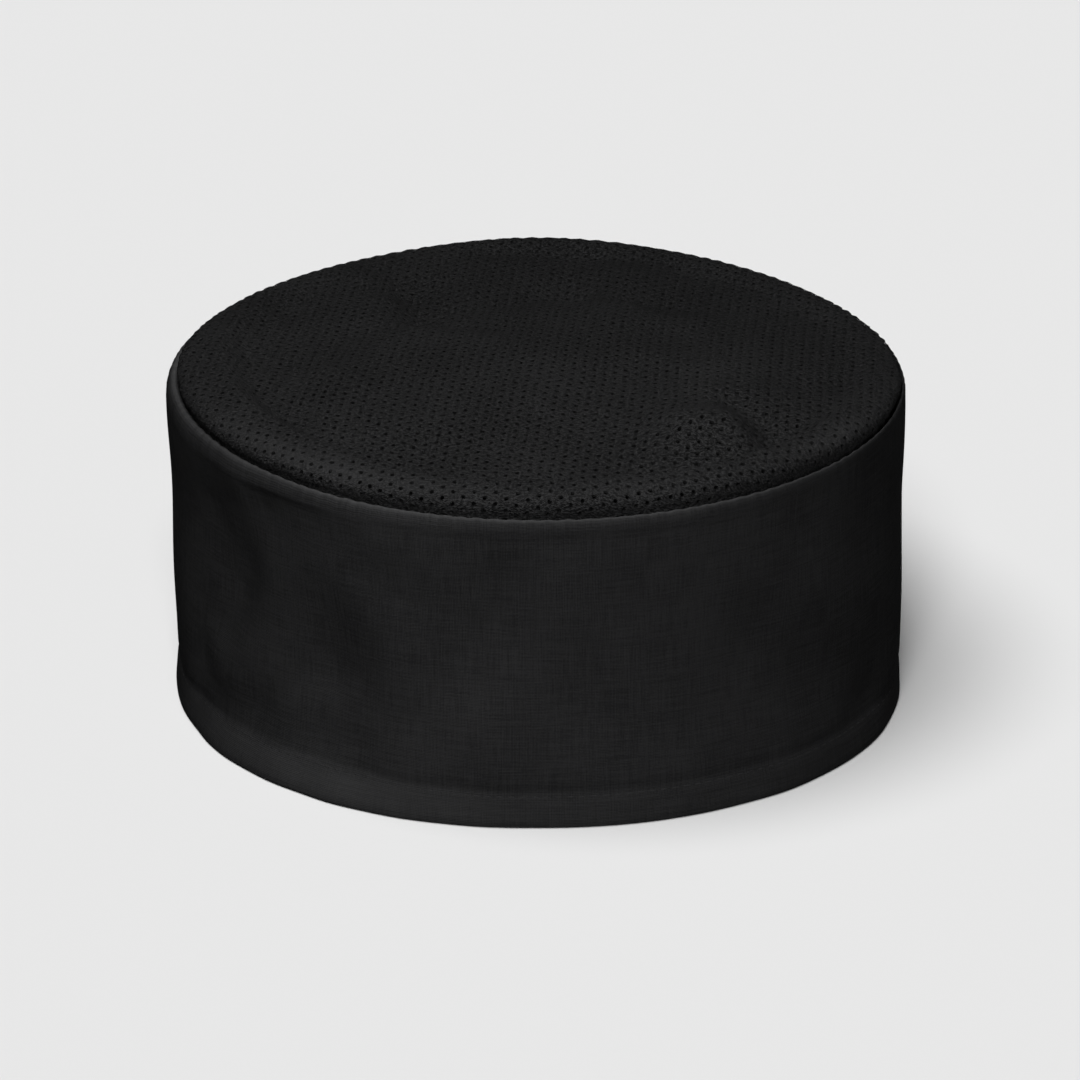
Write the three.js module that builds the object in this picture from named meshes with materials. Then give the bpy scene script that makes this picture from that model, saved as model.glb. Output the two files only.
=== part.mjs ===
import * as THREE from 'three';

// A chef's skull cap standing on its rim: a woven side band with an eyelet mesh crown.
// Lengths are in mm and angles in degrees. The origin is the middle of the rim's plane,
// +Z is up and -Y is the front. An azimuth is 0 at the front and 90 at the right, on +X.

// Side band
const bandRadius = 97;
const bandHeight = 86;
const bandWall = 1.4;
const lipHeight = 3;
const lipDepth = 2.2;
const bandFoldDepth = 1.1;

// Hem: the doubled foot of the band, which flares below its line of stitches
const hemHeight = 9.5;
const hemWall = 1.2;
const hemFlare = 0.6;
const stitchSink = 0.35;
const stitchReach = 2;

// Crown: a roll along the seam, a valley inside it, and a swell over the middle
const crownWall = 1;
const rollHeight = 6.7;
const rollWidth = 8;
const rollTuck = 25;
const valleyWidth = 9;
const crownRise = 8;
const crownFoldDepth = 1.8;

// Seam allowance: the two cut edges, overlocked together under the roll
const allowanceWidth = 9;
const allowanceWall = 1.6;

// Room between two pieces that are sewn to each other
const pieceGap = 0.3;

// Steps of the meshes
const segments = 72;
const bandSteps = 12;
const hemSteps = 2;
const lipSteps = 3;
const rollSteps = 4;
const fallSteps = 3;
const floorSteps = 7;
const allowanceSteps = 2;

// How the outline wanders on the way round, one row every 30 degrees from the front to the right.
// foot: how far the rim stands out, as a share of the band's radius
// seam: how far the seam rises, as a share of the band's height
// lip: share of the lip's height and depth
// roll and crest: shares of the roll's height and width
const stations = [
  { foot: -0.018, seam: -0.003, lip: 0.85, roll: 1.00, crest: 1.00 },
  { foot: 0.004, seam: -0.003, lip: 0.65, roll: 1.00, crest: 0.95 },
  { foot: 0.020, seam: -0.005, lip: 0.45, roll: 0.90, crest: 0.90 },
  { foot: 0.000, seam: -0.012, lip: 0.45, roll: 0.48, crest: 0.85 },
  { foot: 0.004, seam: -0.021, lip: 0.85, roll: 0.38, crest: 0.70 },
  { foot: 0.000, seam: -0.021, lip: 1.00, roll: 0.47, crest: 0.60 },
  { foot: 0.000, seam: -0.017, lip: 1.00, roll: 0.60, crest: 0.55 },
  { foot: 0.000, seam: -0.016, lip: 1.40, roll: 0.45, crest: 0.75 },
  { foot: 0.000, seam: -0.008, lip: 1.65, roll: 0.48, crest: 0.95 },
  { foot: -0.010, seam: 0.006, lip: 1.65, roll: 0.70, crest: 1.25 },
  { foot: -0.002, seam: 0.006, lip: 1.50, roll: 0.90, crest: 1.45 },
  { foot: -0.004, seam: -0.001, lip: 1.15, roll: 0.97, crest: 1.25 },
];

// Folds of the band, one row each, from one end to the other. The azimuths are angles, the heights
// and the width are shares of the band's height, and the depth is a share of the fold depth.
const bandFolds = [
  { azimuth: -64, height: 0.93, toAzimuth: -60, toHeight: 0.45, width: 0.09, depth: -1.0 },
  { azimuth: -60, height: 0.45, toAzimuth: -50, toHeight: 0.18, width: 0.08, depth: -0.8 },
  { azimuth: -49, height: 0.78, toAzimuth: -48, toHeight: 0.40, width: 0.08, depth: 0.6 },
  { azimuth: -46, height: 0.90, toAzimuth: -39, toHeight: 0.70, width: 0.06, depth: -0.6 },
  { azimuth: -61, height: 0.33, toAzimuth: -57, toHeight: 0.20, width: 0.06, depth: 0.5 },
  { azimuth: -36, height: 0.90, toAzimuth: -21, toHeight: 0.85, width: 0.07, depth: -0.5 },
  { azimuth: -21, height: 0.85, toAzimuth: 4, toHeight: 0.82, width: 0.06, depth: -0.5 },
  { azimuth: 9, height: 0.94, toAzimuth: 17, toHeight: 0.76, width: 0.06, depth: -0.6 },
  { azimuth: 17, height: 0.85, toAzimuth: 25, toHeight: 0.82, width: 0.05, depth: -0.5 },
  { azimuth: 38, height: 0.88, toAzimuth: 7, toHeight: 0.56, width: 0.09, depth: 0.7 },
  { azimuth: 3, height: 0.45, toAzimuth: 12, toHeight: 0.41, width: 0.06, depth: -0.5 },
  { azimuth: -10, height: 0.45, toAzimuth: 12, toHeight: 0.27, width: 0.09, depth: 0.5 },
  { azimuth: -30, height: 0.42, toAzimuth: -29, toHeight: 0.17, width: 0.07, depth: -0.5 },
  { azimuth: -18, height: 0.42, toAzimuth: -17, toHeight: 0.14, width: 0.06, depth: -0.4 },
  { azimuth: 42, height: 0.98, toAzimuth: 46, toHeight: 0.80, width: 0.06, depth: -0.8 },
  { azimuth: 41, height: 0.52, toAzimuth: 44, toHeight: 0.28, width: 0.07, depth: -0.5 },
  { azimuth: 54, height: 0.54, toAzimuth: 74, toHeight: 0.42, width: 0.07, depth: 0.5 },
  { azimuth: 47, height: 0.12, toAzimuth: 64, toHeight: 0.17, width: 0.05, depth: -0.5 },
  { azimuth: 118, height: 0.85, toAzimuth: 131, toHeight: 0.40, width: 0.09, depth: -0.7 },
  { azimuth: 165, height: 0.60, toAzimuth: 196, toHeight: 0.52, width: 0.09, depth: 0.5 },
  { azimuth: 232, height: 0.88, toAzimuth: 240, toHeight: 0.35, width: 0.09, depth: -0.7 },
];

// Swells of the crown's floor, one row each. The place and reach are shares of the band's radius,
// and the height is a share of the crown's rise.
const crownSwells = [
  { x: 0.05, y: 0.05, reach: 0.62, height: 0.72 },
  { x: -0.66, y: -0.10, reach: 0.36, height: 0.36 },
  { x: -0.40, y: 0.66, reach: 0.28, height: 0.28 },
  { x: 0.45, y: -0.30, reach: 0.20, height: 0.26 },
  { x: 0.66, y: 0.14, reach: 0.36, height: 0.26 },
];

// Folds of the crown, one row each, from one end to the other. The places and the width are shares
// of the band's radius, and the depth is a share of the fold depth.
const crownFolds = [
  { x: -0.45, y: 0.80, toX: -0.37, toY: 0.54, width: 0.045, depth: -1.0 },
  { x: -0.37, y: 0.54, toX: -0.34, toY: 0.36, width: 0.055, depth: -1.0 },
  { x: -0.34, y: 0.36, toX: -0.05, toY: 0.19, width: 0.060, depth: -0.7 },
  { x: -0.30, y: 0.38, toX: 0.06, toY: 0.54, width: 0.065, depth: -0.7 },
  { x: 0.06, y: 0.54, toX: 0.33, toY: 0.44, width: 0.070, depth: -0.7 },
  { x: 0.33, y: 0.44, toX: 0.52, toY: 0.38, width: 0.060, depth: -0.4 },
  { x: -0.66, y: 0.08, toX: -0.42, toY: 0.38, width: 0.060, depth: 0.6 },
  { x: -0.58, y: 0.00, toX: -0.42, toY: 0.20, width: 0.055, depth: -0.6 },
  { x: -0.86, y: 0.24, toX: -0.76, toY: -0.03, width: 0.050, depth: -0.5 },
  { x: -0.02, y: -0.03, toX: 0.23, toY: -0.02, width: 0.045, depth: -0.3 },
  { x: 0.28, y: 0.09, toX: 0.46, toY: 0.07, width: 0.060, depth: -0.5 },
  { x: 0.22, y: -0.18, toX: 0.49, toY: -0.20, width: 0.050, depth: -0.5 },
  { x: 0.22, y: -0.74, toX: 0.38, toY: -0.72, width: 0.075, depth: -0.8 },
  { x: 0.48, y: -0.22, toX: 0.68, toY: -0.56, width: 0.045, depth: 0.9 },
  { x: 0.51, y: -0.34, toX: 0.59, toY: -0.50, width: 0.050, depth: -1.0 },
  { x: 0.59, y: -0.50, toX: 0.63, toY: -0.62, width: 0.050, depth: -0.8 },
  { x: 0.82, y: -0.08, toX: 0.74, toY: -0.30, width: 0.050, depth: 0.5 },
];

const clothColours = { woven: 0x17181a, mesh: 0x141517 };

// Cloth material of one colour, as matt as the photographed cloth
function cloth(colour) {
  return new THREE.MeshStandardMaterial({ color: colour, roughness: 0.9, metalness: 0 });
}

const clamp01 = (value) => THREE.MathUtils.clamp(value, 0, 1);

// Point at an azimuth, a distance from the axis and a height
function at(azimuth, radius, height) {
  const turn = THREE.MathUtils.degToRad(azimuth);
  return new THREE.Vector3(radius * Math.sin(turn), -radius * Math.cos(turn), height);
}

// Value of one column of the stations at an azimuth, on a smooth closed curve through the rows
function around(azimuth, column) {
  const count = stations.length;
  const place = (THREE.MathUtils.euclideanModulo(azimuth, 360) / 360) * count;
  const first = Math.floor(place);
  const t = place - first;
  const [a, b, c, d] = [-1, 0, 1, 2].map((step) => stations[(first + step + count) % count][column]);
  return b + 0.5 * t * (c - a + t * (2 * a - 5 * b + 4 * c - d + t * (3 * (b - c) + d - a)));
}

// Height of one fold at a point of a flat field, as a share of its depth
function foldShare(x, y, from, to, width) {
  const along = new THREE.Vector2(to.x - from.x, to.y - from.y);
  const offset = new THREE.Vector2(x - from.x, y - from.y);
  const share = clamp01(offset.dot(along) / along.lengthSq());
  const away = offset.addScaledVector(along, -share).length() / width;
  return Math.exp(-away * away);
}

// How far the folds of the band stand out at an azimuth and height, with the band laid out flat
// round each fold's first end
function bandFold(azimuth, height) {
  const arc = (angle) => THREE.MathUtils.degToRad(angle) * bandRadius;
  const total = bandFolds.reduce((sum, row) => {
    const turn = THREE.MathUtils.euclideanModulo(azimuth - row.azimuth + 180, 360) - 180;
    const from = { x: 0, y: row.height * bandHeight };
    const to = { x: arc(row.toAzimuth - row.azimuth), y: row.toHeight * bandHeight };
    return sum + row.depth * foldShare(arc(turn), height, from, to, row.width * bandHeight);
  }, 0);
  return bandFoldDepth * total;
}

// Radius of the band's outside at an azimuth and height, below the lip
function wallRadius(azimuth, height) {
  const foot = bandRadius * around(azimuth, 'foot') * clamp01(1 - height / bandHeight);
  const flare = hemFlare * clamp01(1 - height / hemHeight);
  const stitch = stitchSink * Math.exp(-(((height - hemHeight) / stitchReach) ** 2));
  const calm = clamp01((bandHeight - height) / (2 * lipHeight));
  return bandRadius + foot + flare - stitch + calm * bandFold(azimuth, height);
}

// Seam between the band and the crown at an azimuth: its radius, its height and its lip's height
function seam(azimuth) {
  const share = around(azimuth, 'lip');
  return {
    radius: bandRadius - lipDepth * share,
    height: bandHeight * (1 + around(azimuth, 'seam')),
    lip: lipHeight * share,
  };
}

// Height of the crown's floor over the seam at a point, with its swells and folds
function floorHeight(x, y) {
  const swell = crownSwells.reduce((sum, row) => {
    const away = Math.hypot(x / bandRadius - row.x, y / bandRadius - row.y) / row.reach;
    return sum + row.height * Math.exp(-away * away);
  }, 0);
  const fold = crownFolds.reduce((sum, row) => {
    const from = { x: row.x, y: row.y };
    const to = { x: row.toX, y: row.toY };
    return sum + row.depth * foldShare(x / bandRadius, y / bandRadius, from, to, row.width);
  }, 0);
  return crownRise * swell + crownFoldDepth * fold;
}

// Point of the crown at an azimuth. The stage runs from 0 at the seam over the roll's crest at 1
// and the valley at 2 to the middle at 3.
function crownPoint(azimuth, stage) {
  const edge = seam(azimuth);
  const outerRadius = edge.radius - pieceGap * Math.SQRT1_2;
  const crest = rollWidth * around(azimuth, 'crest');
  const tuck = THREE.MathUtils.degToRad(rollTuck);
  const turn = THREE.MathUtils.lerp(-tuck, Math.PI / 2, clamp01(stage));
  const fall = clamp01(stage - 1);
  const inward = crest * (Math.cos(tuck) - Math.cos(turn)) + valleyWidth * fall;
  const radius = (outerRadius - inward) * (1 - clamp01(stage - 2));
  const climb = (Math.sin(turn) + Math.sin(tuck)) / (1 + Math.sin(tuck));
  const roll = rollHeight * around(azimuth, 'roll') * climb * (1 + Math.cos(Math.PI * fall)) / 2;
  const level = THREE.MathUtils.lerp(bandHeight, edge.height, radius / outerRadius);
  const point = at(azimuth, radius, level + pieceGap * Math.SQRT1_2 + roll);
  const calm = THREE.MathUtils.smoothstep(outerRadius - radius, crest / 2, crest + valleyWidth);
  point.z += calm * floorHeight(point.x, point.y);
  return point;
}

// One ring of points round the cap, from a function of the azimuth
function ring(pointAt) {
  return Array.from({ length: segments }, (_, step) => pointAt((step * 360) / segments));
}

// Closed wall of cloth: a sheet of rings, from the outside or the bottom, and the same sheet one
// wall's thickness inside it. The sheet may close on an apex, and upright rings get a level edge.
function clothWall({ rings, apex, wall, upright }) {
  const outside = rings.flat().concat(apex ? [apex] : []);
  const faces = [];
  for (let row = 0; row + 1 < rings.length; row += 1) {
    for (let step = 0; step < segments; step += 1) {
      const here = row * segments + step;
      const next = row * segments + ((step + 1) % segments);
      faces.push([here, next, next + segments], [here, next + segments, here + segments]);
    }
  }
  const last = (rings.length - 1) * segments;
  if (apex) {
    for (let step = 0; step < segments; step += 1) {
      faces.push([last + step, last + ((step + 1) % segments), outside.length - 1]);
    }
  }
  const sheet = new THREE.BufferGeometry().setFromPoints(outside);
  sheet.setIndex(faces.flat());
  sheet.computeVertexNormals();
  const inside = outside.map((point, index) => {
    const normal = new THREE.Vector3().fromBufferAttribute(sheet.getAttribute('normal'), index);
    if (upright.includes(Math.floor(index / segments))) normal.setZ(0).normalize();
    return point.clone().addScaledVector(normal, -wall);
  });
  const behind = outside.length;
  const walls = faces.concat(faces.map(([a, b, c]) => [behind + a, behind + c, behind + b]));
  for (let step = 0; step < segments; step += 1) {
    const next = (step + 1) % segments;
    walls.push([step, behind + step, behind + next], [step, behind + next, next]);
    if (!apex) {
      walls.push([last + step, last + next, behind + last + next]);
      walls.push([last + step, behind + last + next, behind + last + step]);
    }
  }
  const solid = new THREE.BufferGeometry().setFromPoints(outside.concat(inside));
  solid.setIndex(walls.flat());
  solid.computeVertexNormals();
  return solid;
}

// Named piece of cloth
function piece(name, geometry, colour) {
  const mesh = new THREE.Mesh(geometry, cloth(colour));
  mesh.name = name;
  return mesh;
}

// Heights from one level to another in equal steps, with both ends
function levels(from, to, steps) {
  return Array.from({ length: steps + 1 }, (_, step) => THREE.MathUtils.lerp(from, to, step / steps));
}

// Side band: the hem, the wall, and the lip that turns in to the seam
function sideBand() {
  const hemRings = levels(0, hemHeight, hemSteps).map((height) => (
    ring((azimuth) => at(azimuth, wallRadius(azimuth, height), height))
  ));
  const wallRings = levels(0, 1, bandSteps).slice(1).map((share) => ring((azimuth) => {
    const edge = seam(azimuth);
    const height = THREE.MathUtils.lerp(hemHeight, edge.height - edge.lip, share);
    return at(azimuth, wallRadius(azimuth, height), height);
  }));
  const lipRings = levels(0, Math.PI / 2, lipSteps).slice(1).map((turn) => ring((azimuth) => {
    const edge = seam(azimuth);
    const start = wallRadius(azimuth, edge.height - edge.lip);
    const radius = edge.radius + (start - edge.radius) * Math.cos(turn);
    return at(azimuth, radius, edge.height - edge.lip * (1 - Math.sin(turn)));
  }));
  return clothWall({ rings: hemRings.concat(wallRings, lipRings), wall: bandWall, upright: [0] });
}

// Hem: the foot of the band turned up inside it
function hemTurnUp() {
  const inner = bandWall + pieceGap;
  const rings = levels(0, hemHeight, hemSteps).map((height) => (
    ring((azimuth) => at(azimuth, wallRadius(azimuth, height) - inner, height))
  ));
  return clothWall({ rings, wall: hemWall, upright: rings.keys().toArray() });
}

// Crown: from the seam over the roll and down to the floor, which closes on the middle
function crownPanel() {
  const roll = levels(0, 1, rollSteps);
  const fall = levels(1, 2, fallSteps).slice(1);
  const floor = levels(2, 3, floorSteps).slice(1, -1);
  const stages = roll.concat(fall, floor);
  const rings = stages.map((stage) => ring((azimuth) => crownPoint(azimuth, stage)));
  return clothWall({ rings, apex: crownPoint(0, 3), wall: crownWall, upright: [] });
}

// Seam allowance: it hangs from the seam inside the band, against the wall where that is closer
function crownSeamAllowance() {
  const rings = levels(allowanceWidth, 0, allowanceSteps).map((below) => ring((azimuth) => {
    const edge = seam(azimuth);
    const height = edge.height - 2 * pieceGap - below;
    const wall = wallRadius(azimuth, height) - bandWall - pieceGap;
    return at(azimuth, Math.min(wall, edge.radius - crownWall - 2 * pieceGap), height);
  }));
  return clothWall({ rings, wall: allowanceWall, upright: rings.keys().toArray() });
}

const skullCap = new THREE.Group();
skullCap.name = 'chef_skull_cap';
skullCap.add(piece('side_band', sideBand(), clothColours.woven));
skullCap.add(piece('hem_turn_up', hemTurnUp(), clothColours.woven));
skullCap.add(piece('crown_panel', crownPanel(), clothColours.mesh));
skullCap.add(piece('crown_seam_allowance', crownSeamAllowance(), clothColours.woven));

export default skullCap;
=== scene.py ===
import math
from collections import namedtuple

import bmesh
import bpy
import numpy as np
from mathutils import Matrix, Vector, kdtree


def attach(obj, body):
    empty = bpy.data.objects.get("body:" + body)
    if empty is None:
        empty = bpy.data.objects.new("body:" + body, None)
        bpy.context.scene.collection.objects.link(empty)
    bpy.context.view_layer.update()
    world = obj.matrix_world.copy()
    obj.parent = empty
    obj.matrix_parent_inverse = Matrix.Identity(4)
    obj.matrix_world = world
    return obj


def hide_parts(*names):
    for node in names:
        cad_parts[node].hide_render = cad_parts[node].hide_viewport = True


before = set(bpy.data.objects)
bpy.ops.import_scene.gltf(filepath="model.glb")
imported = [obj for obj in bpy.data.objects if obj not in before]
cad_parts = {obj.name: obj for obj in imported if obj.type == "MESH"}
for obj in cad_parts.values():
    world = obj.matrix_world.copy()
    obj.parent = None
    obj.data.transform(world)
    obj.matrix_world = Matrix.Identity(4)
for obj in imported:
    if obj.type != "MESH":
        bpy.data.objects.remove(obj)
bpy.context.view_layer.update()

# A chef's skull cap standing on its rim. Lengths are in mm until a mesh is finished, and angles are
# in degrees. An azimuth is 0 at the front, on -Y, and 90 at the right, on +X.
MM = 0.001

# Band: the upright strip, with a rounded lip at the seam
BAND_RADIUS = 97.0
BAND_HEIGHT = 86.0
BAND_CLOTH = 0.9
LIP_HEIGHT = 3.0
LIP_DEPTH = 2.2
LIP_INNER_SHARE = 0.4
LIP_TUCK = 0.8
BAND_SKIRT = 1.5
BAND_STEPS = 640
BACK_SEAM_DEPTH = 0.3
BACK_SEAM_REACH = 0.9
RIPPLE_SEED = 7
RIPPLE_WAVES = 26

# Hem: the foot of the band, turned up inside it and stitched
HEM_HEIGHT = 9.5
HEM_GAP = 0.15
STITCH_COUNT = 196
STITCH_LENGTH = 2.5
STITCH_THREAD = 0.2
STITCH_EDGE = 1.2
STITCH_SINK = 0.35
STITCH_REACH = 2.0
OUTER_STITCH_SINK = 0.1
RIM_TURN = BAND_CLOTH + HEM_GAP / 2
FOOT_STAND = 0.6

# Crown: a roll along the seam, a valley inside it, and a swell over the middle
CROWN_CLOTH = 0.8
ROLL_HEIGHT = 6.7
ROLL_WIDTH = 8.0
ROLL_TUCK = 30.0
VALLEY_WIDTH = 9.0
CROWN_RISE = 8.0
CROWN_SKIRT = 2.5
PIECE_GAP = 0.3
SEAM_GROOVE = 0.8

# Eyelets: a lattice of rhombi with one round hole in each, on the flat disc
CELL_HALF_WIDTH = 2.7
CELL_HALF_DEPTH = 1.65
LATTICE_TURN = -6.0
LATTICE_CELLS = 75
FLAT_RADIUS = 102.0
FLAT_SIDES = 160
EYELET_RADIUS = 0.54
EYELET_CLOSING = 0.28
EYELET_MARGIN = 1.8
EYELET_INSET = 0.9
EYELET_SEED = 11

# Seam allowance under the crown, and the puckers that its stitches draw
ALLOWANCE_WIDTH = 9.0
ALLOWANCE_WALL = 1.6
OVERLOCK_COUNT = 230
OVERLOCK_THREAD = 0.22
OVERLOCK_REACH = 2.6
OVERLOCK_LEAN = 14.0
PUCKER_COUNT = 132
PUCKER_DEPTH = 0.14
PUCKER_ON_WALL = 0.4
PUCKER_FADE = 3.0
SEAM_WANDER = 0.18

# How pale the cloth is made, from 0 to 1: pale from rubbing at the rim, and painted highlights on the lip,
# the hem and the roll's crest
LIP_HIGHLIGHT = 0.9
RIM_WEAR = 0.15
HEM_HIGHLIGHT = 0.22
ROLL_HIGHLIGHT = 0.1
ROLL_HIGHLIGHT_LEFT = 0.5
ROLL_HIGHLIGHT_RIGHT = 0.6

# The outline every 30 degrees from the front towards the right, as shares of the sizes above. The
# flare is in mm: how far the wall is held in above the hem
STATIONS = {
    "foot": (-0.018, 0.004, 0.020, 0.000, 0.004, 0.000, 0.000, 0.000, 0.000, -0.011, -0.004, -0.004),
    "seam": (-0.003, -0.003, -0.005, -0.012, -0.021, -0.021, -0.017, -0.016, -0.008, 0.006, 0.006, -0.001),
    "lip": (0.85, 0.65, 0.45, 0.45, 0.85, 1.00, 1.00, 1.40, 1.65, 1.65, 1.50, 1.15),
    "roll": (1.00, 1.00, 0.90, 0.48, 0.38, 0.47, 0.60, 0.45, 0.48, 0.70, 0.90, 0.97),
    "flare": (1.0, 0.7, 0.3, 0.3, 0.6, 0.6, 0.6, 0.6, 0.7, 0.9, 1.8, 2.8),
    "crest": (1.00, 0.95, 0.90, 0.85, 0.70, 0.60, 0.55, 0.75, 0.95, 1.25, 1.45, 1.25),
}

# Folds and hollows of the band from one end to the other: angles, shares of the height, depth in mm
BandFold = namedtuple("BandFold", "azimuth height to_azimuth to_height width depth")
BAND_FOLDS = [
    BandFold(-60, 0.58, -36, 0.47, 0.24, -4.5),
    BandFold(-80, 0.70, -62, 0.72, 0.16, -1.4),
    BandFold(5, 0.41, -17, 0.66, 0.23, -2.2),
    BandFold(-37, 0.26, -30, 0.26, 0.15, -1.6),
    BandFold(-61, 0.07, -35, 0.07, 0.09, 0.6),
    BandFold(-49, 0.16, -31, 0.16, 0.09, -2.0),
    BandFold(-32, 0.43, -43, 0.86, 0.14, -2.0),
    BandFold(-60, 0.41, -48, 0.85, 0.09, -1.8),
    BandFold(-59, 0.13, -37, 0.38, 0.09, -1.5),
    BandFold(-63, 0.78, -57, 0.84, 0.09, -1.1),
    BandFold(-54, 0.12, -66, 0.23, 0.06, -0.6),
    BandFold(-66, 0.14, -66, 0.40, 0.09, -1.0),
    BandFold(-18, 0.31, -6, 0.76, 0.15, -2.3),
    BandFold(-24, 0.74, -36, 0.88, 0.09, -1.2),
    BandFold(12, 0.56, 0, 0.70, 0.15, 0.8),
    BandFold(26, 0.50, 10, 0.58, 0.33, -3.8),
    BandFold(59, 0.22, 37, 0.48, 0.15, -1.5),
    BandFold(17, 0.26, 43, 0.26, 0.15, -0.9),
    BandFold(60, 0.65, 48, 0.79, 0.15, -1.0),
    BandFold(57, 0.16, 63, 0.16, 0.06, -0.7),
    BandFold(118, 0.85, 131, 0.40, 0.12, -1.8),
    BandFold(104, 0.35, 122, 0.25, 0.10, -1.2),
    BandFold(148, 0.72, 150, 0.30, 0.10, -1.0),
    BandFold(165, 0.60, 196, 0.52, 0.13, 1.5),
    BandFold(204, 0.30, 220, 0.22, 0.10, -1.2),
    BandFold(232, 0.88, 240, 0.35, 0.12, -2.0),
    BandFold(262, 0.60, 270, 0.30, 0.10, -1.0),
]

# Swells and folds of the crown: places in shares of the band's radius, a swell's height as a share
# of the rise, and a fold's depth in mm
CrownSwell = namedtuple("CrownSwell", "x y reach height")
CROWN_SWELLS = [
    CrownSwell(0.05, 0.05, 0.62, 0.72),
    CrownSwell(-0.66, -0.10, 0.36, 0.36),
    CrownSwell(-0.40, 0.66, 0.28, 0.28),
    CrownSwell(0.45, -0.30, 0.20, 0.12),
    CrownSwell(0.66, 0.14, 0.36, 0.26),
]
CrownFold = namedtuple("CrownFold", "x y to_x to_y width depth")
CROWN_FOLDS = [
    CrownFold(-0.27, 0.37, 0.11, 0.59, 0.110, -3.0),
    CrownFold(-0.32, 0.35, -0.32, 0.60, 0.070, -2.6),
    CrownFold(-0.12, 0.21, -0.20, 0.26, 0.070, -2.0),
    CrownFold(0.35, 0.42, 0.13, 0.54, 0.070, -2.3),
    CrownFold(0.51, 0.42, 0.29, 0.54, 0.070, -1.1),
    CrownFold(0.24, 0.25, 0.24, 0.70, 0.110, 1.9),
    CrownFold(-0.29, 0.80, -0.04, 0.80, 0.070, 1.0),
    CrownFold(-0.36, 0.53, -0.44, 0.58, 0.045, -1.3),
    CrownFold(-0.46, 0.60, -0.51, 0.68, 0.045, 1.2),
    CrownFold(-0.34, 0.53, -0.46, 0.75, 0.045, -0.9),
    CrownFold(0.18, 0.52, 0.13, 0.60, 0.045, 1.3),
    CrownFold(-0.13, 0.18, -0.35, 0.30, 0.045, 0.6),
    CrownFold(-0.19, 0.34, 0.03, 0.46, 0.045, 0.5),
    CrownFold(-0.62, -0.03, -0.50, 0.19, 0.110, -1.4),
    CrownFold(-0.61, -0.19, -0.83, 0.19, 0.070, -0.9),
    CrownFold(-0.56, -0.55, -0.56, -0.10, 0.070, 1.0),
    CrownFold(-0.43, -0.51, -0.05, -0.29, 0.170, 1.4),
    CrownFold(-0.21, -0.83, -0.59, -0.61, 0.170, -0.7),
    CrownFold(-0.44, -0.67, -0.52, -0.62, 0.045, 0.9),
    CrownFold(0.42, -0.43, 0.54, -0.21, 0.170, 3.0),
    CrownFold(0.19, -0.72, 0.44, -0.72, 0.070, -1.2),
    CrownFold(0.25, -0.16, 0.70, -0.16, 0.070, -0.7),
    CrownFold(0.53, -0.51, 0.75, -0.13, 0.110, 1.0),
    CrownFold(0.40, -0.51, 0.50, -0.51, 0.090, 4.2),
    CrownFold(0.53, -0.36, 0.66, -0.63, 0.050, -2.0),
    CrownFold(0.70, -0.44, 0.80, -0.28, 0.060, 1.6),
    CrownFold(0.37, 0.13, 0.75, 0.35, 0.170, -0.7),
    CrownFold(0.51, -0.11, 0.13, 0.11, 0.070, 0.5),
]


def around(azimuth, column):
    """One column of the stations at each azimuth, on a smooth closed curve through the rows."""
    rows = np.array(STATIONS[column])
    place = np.mod(azimuth, 360.0) / 360.0 * len(rows)
    first = np.floor(place).astype(int)
    t = place - first
    a, b, c, d = (rows[(first + step) % len(rows)] for step in (-1, 0, 1, 2))
    return b + 0.5 * t * (c - a + t * (2 * a - 5 * b + 4 * c - d + t * (3 * (b - c) + d - a)))


def fold_share(x, y, from_x, from_y, to_x, to_y, width):
    """Height of one fold at each point of a flat field, as a share of its depth."""
    along_x, along_y = to_x - from_x, to_y - from_y
    share = ((x - from_x) * along_x + (y - from_y) * along_y) / (along_x**2 + along_y**2)
    share = np.clip(share, 0.0, 1.0)
    away = np.hypot(x - from_x - share * along_x, y - from_y - share * along_y) / width
    return np.exp(-away * away)


def near_azimuth(azimuth, middle, width):
    """Share from 0 to 1 of how near each azimuth is to a middle one."""
    away = np.mod(azimuth - middle + 180, 360) - 180
    return np.exp(-((away / width) ** 2))


def pucker(azimuth):
    """Wave of the seam's puckers, from -1 to 1, with a pitch that wanders."""
    turn = np.radians(azimuth)
    wander = 1.3 * np.sin(3 * turn + 0.7) + 0.9 * np.sin(11 * turn + 2.1) + 0.5 * np.sin(29 * turn)
    strength = 0.65 + 0.35 * np.sin(17 * turn + 1.1) * np.sin(5 * turn + 0.4)
    return strength * np.cos(PUCKER_COUNT * turn + wander)


def cloth_ripple(azimuth, height):
    """Slight unevenness of hanging cloth, about 0.1 deep, as a sum of closed waves."""
    random = np.random.default_rng(RIPPLE_SEED)
    total = np.zeros_like(azimuth + height)
    for _ in range(RIPPLE_WAVES):
        turns = int(random.integers(3, 34))
        length = random.uniform(30, 160)
        depth = 0.25 / (2 + turns * 0.35)
        phase = random.uniform(0, 2 * np.pi)
        lean = random.choice((-1, 1))
        total += depth * np.sin(np.radians(azimuth) * turns + lean * height * 2 * np.pi / length + phase)
    return total


def band_fold(azimuth, height):
    """How far the folds of the band stand out."""
    arc = math.radians(1) * BAND_RADIUS
    total = np.zeros_like(azimuth + height)
    for row in BAND_FOLDS:
        turn = np.mod(azimuth - row.azimuth + 180, 360) - 180
        total += row.depth * fold_share(
            turn * arc, height,
            0, row.height * BAND_HEIGHT,
            (row.to_azimuth - row.azimuth) * arc, row.to_height * BAND_HEIGHT,
            row.width * BAND_HEIGHT,
        )
    return total


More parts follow.
